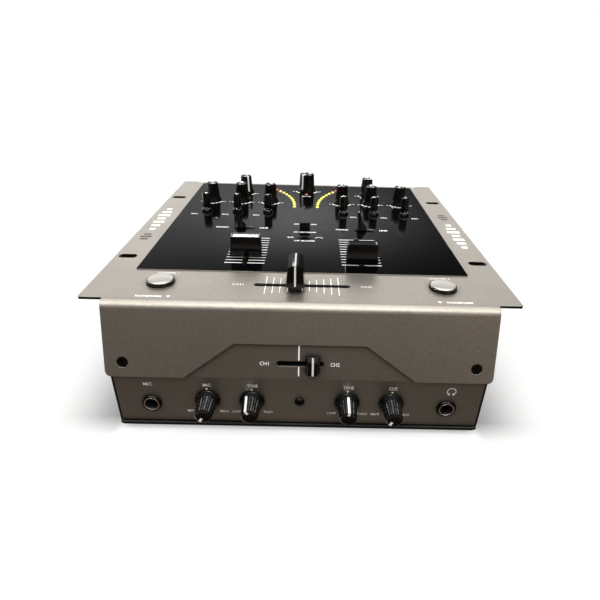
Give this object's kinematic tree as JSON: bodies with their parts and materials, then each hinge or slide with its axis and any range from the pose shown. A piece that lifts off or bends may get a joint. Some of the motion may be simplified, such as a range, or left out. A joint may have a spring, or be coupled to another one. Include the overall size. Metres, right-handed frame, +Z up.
{
  "type": "dj mixer",
  "caption": "Tabletop scratch mixer: folded metal cover with side flanges, gloss control fascia, sliding faders, tone knobs, toggle switches, lamp meters, front knobs and sockets.",
  "frame": {"origin": "on the table, under the centre of the bounding box", "axes": "+X to the right as the player sees it, +Y from the player towards the rear sockets, +Z up"},
  "size_m": [0.254, 0.2898, 0.1018],
  "materials": {
    "titanium_paint": "satin metallic",
    "black_gloss": "gloss",
    "black_paint": "fine texture",
    "foot_rubber": "matt",
    "black_zinc": "black zinc",
    "pot_steel": "plain",
    "nickel": "nickel plate",
    "black_nickel": "black nickel",
    "silver_button": "metallised",
    "switch_black": "moulded",
    "plated_steel": "zinc plate",
    "board_green": "solder mask",
    "component_black": "moulded",
    "ribbon_grey": "vinyl",
    "connector_white": "nylon",
    "brass_standoff": "machined",
    "socket_black": "moulded",
    "insert_white": "moulded",
    "knob_black": "moulded, fine grain",
    "lamp_yellow": "clear epoxy",
    "lamp_red": "clear epoxy"
  },
  "bodies": {
    "case": {"board_components": "component_black", "cable_connectors": "connector_white", "case_screws": "black_zinc", "case_tray": "black_paint", "control_board": "board_green", "cue_fader_frame": "plated_steel", "fader_frames": "plated_steel", "fascia_overlay": "black_gloss", "front_board": "board_green", "front_panel": "titanium_paint", "ground_post": "nickel", "kill_collars": "black_nickel", "main_board": "board_green", "meter_lamps": "lamp_yellow", "panel_nuts": "nickel", "peak_lamps": "lamp_red", "phone_sockets": "socket_black", "potentiometers": "pot_steel", "power_inlet": "socket_black", "power_switch_body": "socket_black", "rca_inserts": "insert_white", "rca_shells": "nickel", "rear_board": "board_green", "rear_panel": "black_paint", "ribbon_cables": "ribbon_grey", "rubber_feet": "foot_rubber", "standoffs": "brass_standoff", "switch_bodies": "switch_black", "top_cover": "titanium_paint"},
    "eq_high_knob_left": {"eq_high_knob_left": "knob_black"},
    "kill_high_toggle_left": {"kill_high_toggle_left": "knob_black"},
    "eq_mid_knob_left": {"eq_mid_knob_left": "knob_black"},
    "kill_mid_toggle_left": {"kill_mid_toggle_left": "knob_black"},
    "eq_low_knob_left": {"eq_low_knob_left": "knob_black"},
    "kill_low_toggle_left": {"kill_low_toggle_left": "knob_black"},
    "eq_low_knob_right": {"eq_low_knob_right": "knob_black"},
    "kill_low_toggle_right": {"kill_low_toggle_right": "knob_black"},
    "eq_mid_knob_right": {"eq_mid_knob_right": "knob_black"},
    "kill_mid_toggle_right": {"kill_mid_toggle_right": "knob_black"},
    "eq_high_knob_right": {"eq_high_knob_right": "knob_black"},
    "kill_high_toggle_right": {"kill_high_toggle_right": "knob_black"},
    "gain_knob_left": {"gain_knob_left": "knob_black"},
    "gain_knob_right": {"gain_knob_right": "knob_black"},
    "master_knob": {"master_knob": "knob_black"},
    "mic_level_knob": {"mic_level_knob": "knob_black"},
    "mic_tone_knob": {"mic_tone_knob": "knob_black"},
    "phones_tone_knob": {"phones_tone_knob": "knob_black"},
    "phones_level_knob": {"phones_level_knob": "knob_black"},
    "transform_lever_left": {"transform_lever_left": "knob_black"},
    "line_fader_left": {"line_fader_left": "knob_black"},
    "transform_button_left": {"transform_button_left": "silver_button"},
    "transform_lever_right": {"transform_lever_right": "knob_black"},
    "line_fader_right": {"line_fader_right": "knob_black"},
    "transform_button_right": {"transform_button_right": "silver_button"},
    "crossfader": {"crossfader": "knob_black"},
    "cue_fader": {"cue_fader": "knob_black"},
    "reverse_switch": {"reverse_switch": "knob_black"},
    "slope_switch": {"slope_switch": "knob_black"},
    "power_rocker": {"power_rocker": "knob_black"},
    "ground_thumb_nut": {"ground_thumb_nut": "nickel"}
  },
  "joints": [
    {"name": "eq_high_knob_left_turn", "type": "hinge", "parent": "case", "child": "eq_high_knob_left", "pos_m": [-0.0324, 0.06885, 0.0845], "axis": [0, 0, -1], "range_deg": [-150, 150]},
    {"name": "kill_high_toggle_left_flip", "type": "hinge", "parent": "case", "child": "kill_high_toggle_left", "pos_m": [-0.0324, 0.03805, 0.08], "axis": [1, 0, 0], "range_deg": [0, 16]},
    {"name": "eq_mid_knob_left_turn", "type": "hinge", "parent": "case", "child": "eq_mid_knob_left", "pos_m": [-0.0586, 0.06885, 0.0845], "axis": [0, 0, -1], "range_deg": [-150, 150]},
    {"name": "kill_mid_toggle_left_flip", "type": "hinge", "parent": "case", "child": "kill_mid_toggle_left", "pos_m": [-0.0586, 0.03805, 0.08], "axis": [1, 0, 0], "range_deg": [0, 16]},
    {"name": "eq_low_knob_left_turn", "type": "hinge", "parent": "case", "child": "eq_low_knob_left", "pos_m": [-0.0848, 0.06885, 0.0845], "axis": [0, 0, -1], "range_deg": [-150, 150]},
    {"name": "kill_low_toggle_left_flip", "type": "hinge", "parent": "case", "child": "kill_low_toggle_left", "pos_m": [-0.0848, 0.03805, 0.08], "axis": [1, 0, 0], "range_deg": [0, 16]},
    {"name": "eq_low_knob_right_turn", "type": "hinge", "parent": "case", "child": "eq_low_knob_right", "pos_m": [0.0324, 0.06885, 0.0845], "axis": [0, 0, -1], "range_deg": [-150, 150]},
    {"name": "kill_low_toggle_right_flip", "type": "hinge", "parent": "case", "child": "kill_low_toggle_right", "pos_m": [0.0324, 0.03805, 0.08], "axis": [1, 0, 0], "range_deg": [0, 16]},
    {"name": "eq_mid_knob_right_turn", "type": "hinge", "parent": "case", "child": "eq_mid_knob_right", "pos_m": [0.0586, 0.06885, 0.0845], "axis": [0, 0, -1], "range_deg": [-150, 150]},
    {"name": "kill_mid_toggle_right_flip", "type": "hinge", "parent": "case", "child": "kill_mid_toggle_right", "pos_m": [0.0586, 0.03805, 0.08], "axis": [1, 0, 0], "range_deg": [0, 16]},
    {"name": "eq_high_knob_right_turn", "type": "hinge", "parent": "case", "child": "eq_high_knob_right", "pos_m": [0.0848, 0.06885, 0.0845], "axis": [0, 0, -1], "range_deg": [-150, 150]},
    {"name": "kill_high_toggle_right_flip", "type": "hinge", "parent": "case", "child": "kill_high_toggle_right", "pos_m": [0.0848, 0.03805, 0.08], "axis": [1, 0, 0], "range_deg": [0, 16]},
    {"name": "gain_knob_left_turn", "type": "hinge", "parent": "case", "child": "gain_knob_left", "pos_m": [-0.0579, 0.09565, 0.0845], "axis": [0, 0, -1], "range_deg": [-300, 0]},
    {"name": "gain_knob_right_turn", "type": "hinge", "parent": "case", "child": "gain_knob_right", "pos_m": [0.0579, 0.09565, 0.0845], "axis": [0, 0, -1], "range_deg": [-255, 45]},
    {"name": "master_knob_turn", "type": "hinge", "parent": "case", "child": "master_knob", "pos_m": [0, 0.10715, 0.0845], "axis": [0, 0, -1], "range_deg": [-5, 295]},
    {"name": "mic_level_knob_turn", "type": "hinge", "parent": "case", "child": "mic_level_knob", "pos_m": [-0.0554, -0.13045, 0.0235], "axis": [0, 1, 0], "range_deg": [0, 300]},
    {"name": "mic_tone_knob_turn", "type": "hinge", "parent": "case", "child": "mic_tone_knob", "pos_m": [-0.0287, -0.13045, 0.0235], "axis": [0, 1, 0], "range_deg": [-122, 178]},
    {"name": "phones_tone_knob_turn", "type": "hinge", "parent": "case", "child": "phones_tone_knob", "pos_m": [0.0287, -0.13045, 0.0235], "axis": [0, 1, 0], "range_deg": [-153, 147]},
    {"name": "phones_level_knob_turn", "type": "hinge", "parent": "case", "child": "phones_level_knob", "pos_m": [0.0554, -0.13045, 0.0235], "axis": [0, 1, 0], "range_deg": [0, 300]},
    {"name": "transform_lever_left_flip", "type": "hinge", "parent": "case", "child": "transform_lever_left", "pos_m": [-0.0474, -0.00035, 0.0725], "axis": [0, 1, 0], "range_deg": [0, 24]},
    {"name": "line_fader_left_slide", "type": "slide", "parent": "case", "child": "line_fader_left", "axis": [0, 1, 0], "range_m": [-0.0125, 0.032]},
    {"name": "transform_button_left_press", "type": "slide", "parent": "case", "child": "transform_button_left", "axis": [0, 0, -1], "range_m": [0, 0.0015], "stiffness_N_per_m": 400},
    {"name": "transform_lever_right_flip", "type": "hinge", "parent": "case", "child": "transform_lever_right", "pos_m": [0.0474, -0.00035, 0.0725], "axis": [0, 1, 0], "range_deg": [0, 24]},
    {"name": "line_fader_right_slide", "type": "slide", "parent": "case", "child": "line_fader_right", "axis": [0, 1, 0], "range_m": [-0.0041, 0.0404]},
    {"name": "transform_button_right_press", "type": "slide", "parent": "case", "child": "transform_button_right", "axis": [0, 0, -1], "range_m": [0, 0.0015], "stiffness_N_per_m": 400},
    {"name": "crossfader_slide", "type": "slide", "parent": "case", "child": "crossfader", "axis": [1, 0, 0], "range_m": [-0.0185, 0.0265]},
    {"name": "cue_fader_slide", "type": "slide", "parent": "case", "child": "cue_fader", "axis": [1, 0, 0], "range_m": [-0.0183, 0.0037]},
    {"name": "reverse_switch_slide", "type": "slide", "parent": "case", "child": "reverse_switch", "axis": [0, 1, 0], "range_m": [0, 0.0046]},
    {"name": "slope_switch_slide", "type": "slide", "parent": "case", "child": "slope_switch", "axis": [1, 0, 0], "range_m": [-0.0028, 0.0028]},
    {"name": "power_rocker_tilt", "type": "hinge", "parent": "case", "child": "power_rocker", "pos_m": [0.09, 0.12685, 0.0495], "axis": [1, 0, 0], "range_deg": [-16, 0]},
    {"name": "ground_thumb_nut_turn", "type": "hinge", "parent": "case", "child": "ground_thumb_nut", "pos_m": [-0.053, 0.13755, 0.0495], "axis": [0, -1, 0], "range_deg": [-180, 180]}
  ]
}
